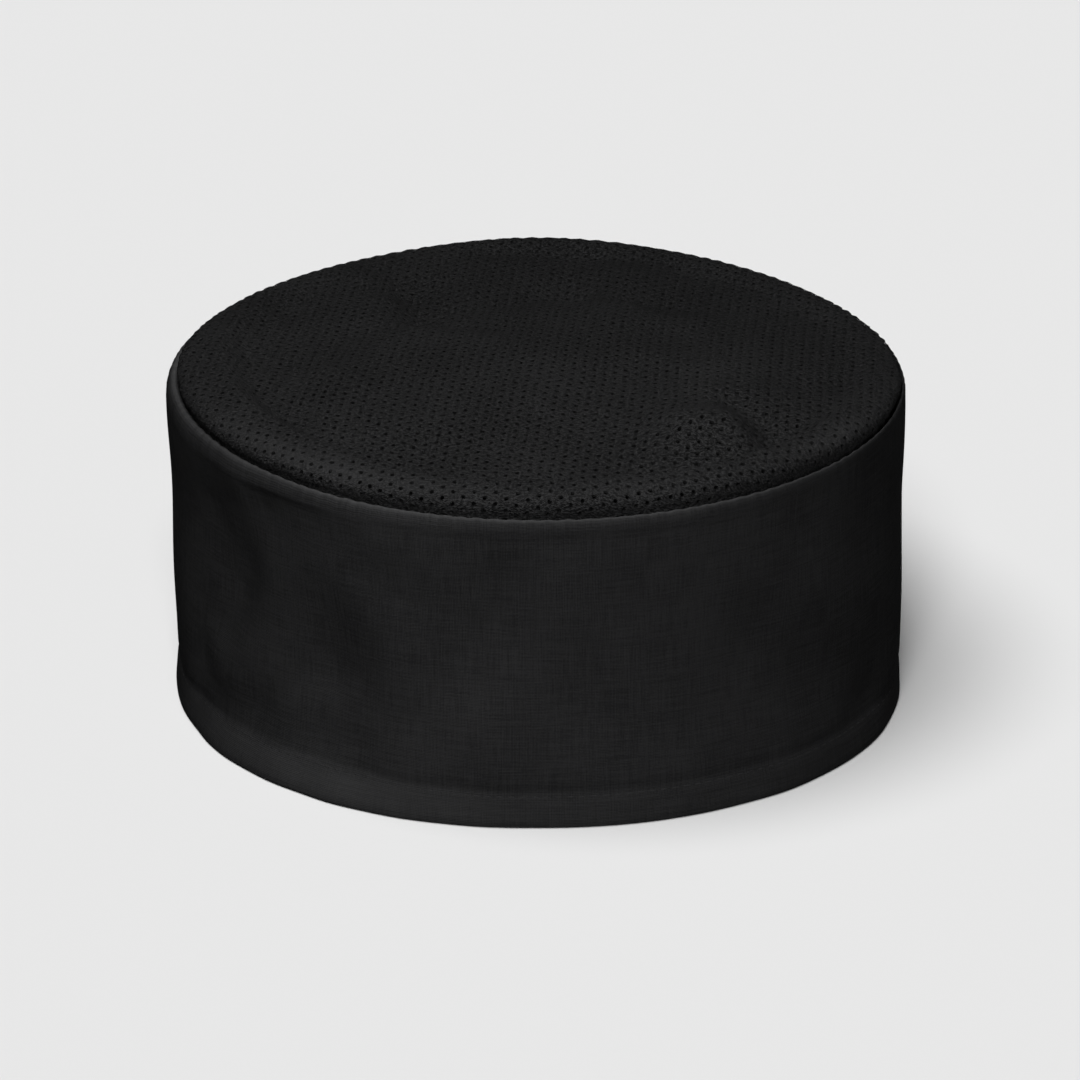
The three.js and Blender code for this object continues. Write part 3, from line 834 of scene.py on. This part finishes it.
def sewing_thread():
    """Black sewing thread, twisted and slightly uneven."""
    material = bpy.data.materials.new("thread_black")
    material.use_nodes = True
    tree = material.node_tree
    tree.nodes.clear()
    place_in = add(tree, "ShaderNodeTexCoord").outputs["Object"]
    fibres = add(tree, "ShaderNodeTexNoise", {"Vector": place_in, "Scale": 1800.0, "Detail": 2.0})
    tint = add(tree, "ShaderNodeMix", {0: fibres.outputs[0]}, data_type="RGBA")
    tint.inputs[6].default_value = (0.006, 0.006, 0.0062, 1)
    tint.inputs[7].default_value = (0.019, 0.019, 0.0194, 1)
    twist = add(tree, "ShaderNodeTexWave", {"Vector": place_in, "Scale": 700.0, "Distortion": 1.5})
    bump = add(tree, "ShaderNodeBump", {"Height": twist.outputs["Fac"], "Distance": 0.05 * MM})
    surface = add(tree, "ShaderNodeBsdfPrincipled", {
        "Base Color": tint.outputs[2],
        "Roughness": 0.6,
        "Specular IOR Level": 0.06,
        "Normal": bump.outputs[0],
    })
    add(tree, "ShaderNodeOutputMaterial", {"Surface": surface.outputs[0]})
    return material


# Materials
CIRCUMFERENCE = 2 * math.pi * BAND_RADIUS
WEAVE_WIDTH = 102.0
# The pale third colour of each cloth is a painted highlight, except at the band's rim, where it is pale from
# rubbing.
woven_black = cloth_material(
    "woven_black", plain_weave_group(), {"Thread": 0.42}, (CIRCUMFERENCE, WEAVE_WIDTH),
    dark=(0.0062, 0.0062, 0.0064), light=(0.0134, 0.0134, 0.0137), highlight_and_wear_colour=(0.0340, 0.0340, 0.0345),
    relief=0.07, rough=0.68, gloss=0.02,
)
mesh_black = cloth_material(
    "mesh_black", eyelet_knit_group(), {"Loop": 0.9}, (2 * FLAT_RADIUS, 2 * FLAT_RADIUS),
    dark=(0.0003, 0.0003, 0.0004), light=(0.0128, 0.0128, 0.0131), highlight_and_wear_colour=(0.0150, 0.0150, 0.0153),
    relief=0.40, rough=0.66, gloss=0.084,
)
thread_black = sewing_thread()

# Pieces of the cap
band = band_cloth(woven_black)
crown = crown_mesh(mesh_black)
allowance = seam_allowance(woven_black)
overlock = overlock_loops(thread_black)
inner_stitches = hem_stitches("hem_stitches_inside", 2 * BAND_CLOTH + HEM_GAP, thread_black)
outer_stitches = hem_stitches("hem_stitches_outside", OUTER_STITCH_SINK, thread_black)
for piece, nodes, finish in (
    (band, ("side_band", "hem_turn_up"), "woven_cloth"),
    (crown, ("crown_panel",), "mesh_cloth"),
    (allowance, ("crown_seam_allowance",), "woven_cloth"),
):
    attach(piece, "root")
    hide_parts(*nodes)
sewing = [overlock, inner_stitches, outer_stitches]
for piece in sewing:
    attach(piece, "root")

# Floor, studio light and camera
FLOOR_REACH = 3000.0
FLOOR_SHADE = 0.7
PAPER = 0.799
SKY_GLOW = 0.02
FLOOR_GLOW = 0.08


def floor_sheet():
    """Pale floor under the cap."""
    bm = bmesh.new()
    bmesh.ops.create_grid(bm, x_segments=1, y_segments=1, size=FLOOR_REACH * MM)
    material = bpy.data.materials.new("pale_floor")
    material.use_nodes = True
    tree = material.node_tree
    tree.nodes.clear()
    paper = add(tree, "ShaderNodeBsdfDiffuse", {"Color": (FLOOR_SHADE, FLOOR_SHADE, FLOOR_SHADE, 1)})
    clear = add(tree, "ShaderNodeBsdfTransparent")
    under = add(tree, "ShaderNodeNewGeometry").outputs["Backfacing"]
    sides = add(tree, "ShaderNodeMixShader", {0: under, 1: paper.outputs[0], 2: clear.outputs[0]})
    add(tree, "ShaderNodeOutputMaterial", {"Surface": sides.outputs[0]})
    made = finish_piece("floor", bm, material)
    return made


def receivers(name, pieces):
    """Collection of the pieces that one light falls on."""
    group = bpy.data.collections.new(name)
    for piece in pieces:
        group.objects.link(piece)
    return group


def hang_light(data, azimuth, elevation, middle, distance, group):
    """Light that looks at a middle from an azimuth, elevation and distance, for a group of pieces."""
    made = bpy.data.objects.new(data.name, data)
    bpy.context.collection.objects.link(made)
    turn, rise = math.radians(azimuth), math.radians(elevation)
    back = Vector((math.sin(turn) * math.cos(rise), -math.cos(turn) * math.cos(rise), math.sin(rise)))
    made.location = middle + back * distance
    made.rotation_mode = "QUATERNION"
    made.rotation_quaternion = (-back).to_track_quat("-Z", "Y")
    made.light_linking.receiver_collection = group


def sun(name, azimuth, elevation, strength, angle, group):
    """Sun from an azimuth and elevation, soft over an angle, that falls on a group of pieces."""
    data = bpy.data.lights.new(name, "SUN")
    data.energy = strength
    data.angle = math.radians(angle)
    hang_light(data, azimuth, elevation, Vector((0, 0, 0)), 1.0, group)


def softbox(name, azimuth, elevation, distance, size, power, group):
    """Square soft light at a distance from the middle of the cap, that falls on a group of pieces."""
    data = bpy.data.lights.new(name, "AREA")
    data.energy = power
    data.size = size * MM
    hang_light(data, azimuth, elevation, Vector((0, 0, BAND_HEIGHT / 2 * MM)), distance * MM, group)


floor = floor_sheet()
on_floor = receivers("lit_floor", [floor])
on_cap = receivers("lit_cap", [band, crown, allowance, *sewing])
sun("floor_key", 298, 73, 2.27, 36, on_floor)
sun("floor_front", -5, 45, 1.96, 20, on_floor)
softbox("cap_key", -10, 40, 600, 250, 6.1, on_cap)
softbox("cap_back", 180, 80, 600, 250, 1.5, on_cap)
softbox("cap_behind", 230, 60, 600, 250, 0.55, on_cap)
softbox("cap_right", 85, 10, 600, 250, 0.6, on_cap)
softbox("cap_rear", 175, -15, 600, 250, 3.0, on_cap)
softbox("cap_below", 0, -90, 600, 250, 1.5, on_cap)
for ray in ("diffuse", "glossy", "transmission", "shadow"):
    setattr(floor, "visible_" + ray, False)

world = bpy.data.worlds.new("studio")
bpy.context.scene.world = world
world.use_nodes = True
sky = world.node_tree
sky.nodes.clear()
seen = add(sky, "ShaderNodeLightPath").outputs["Is Camera Ray"]
direction = add(sky, "ShaderNodeTexCoord").outputs["Generated"]
upwards = add(sky, "ShaderNodeSeparateXYZ", {0: direction}).outputs["Z"]
half = calc(sky, "GREATER_THAN", upwards, 0.0)
level = add(sky, "ShaderNodeMapRange", {"Value": half, "To Min": FLOOR_GLOW, "To Max": SKY_GLOW})
level = add(sky, "ShaderNodeMix", {0: seen, 2: level.outputs[0], 3: PAPER})
glow = add(sky, "ShaderNodeBackground", {"Strength": level.outputs[0]})
add(sky, "ShaderNodeOutputWorld", {"Surface": glow.outputs[0]})

AIM = Vector((1.23, 0.0, 37.93)) * MM
CAMERA_RISE = math.radians(23.938)
CAMERA_AWAY = 1600 * MM
SENSOR = 36.0
FOCAL_PIXELS = 6019
FRAME_PIXELS = 1080
camera = bpy.data.objects.new("camera", bpy.data.cameras.new("camera"))
bpy.context.collection.objects.link(camera)
away = Vector((0, -math.cos(CAMERA_RISE), math.sin(CAMERA_RISE)))
camera.location = AIM + away * CAMERA_AWAY
camera.rotation_mode = "QUATERNION"
camera.rotation_quaternion = (-away).to_track_quat("-Z", "Y")
camera.data.sensor_width = SENSOR
camera.data.lens = SENSOR * FOCAL_PIXELS / FRAME_PIXELS
camera.data.clip_start = 0.1
camera.data.clip_end = 20.0
bpy.context.scene.camera = camera
bpy.context.scene.view_settings.view_transform = "Standard"
bpy.context.scene.view_settings.look = "None"
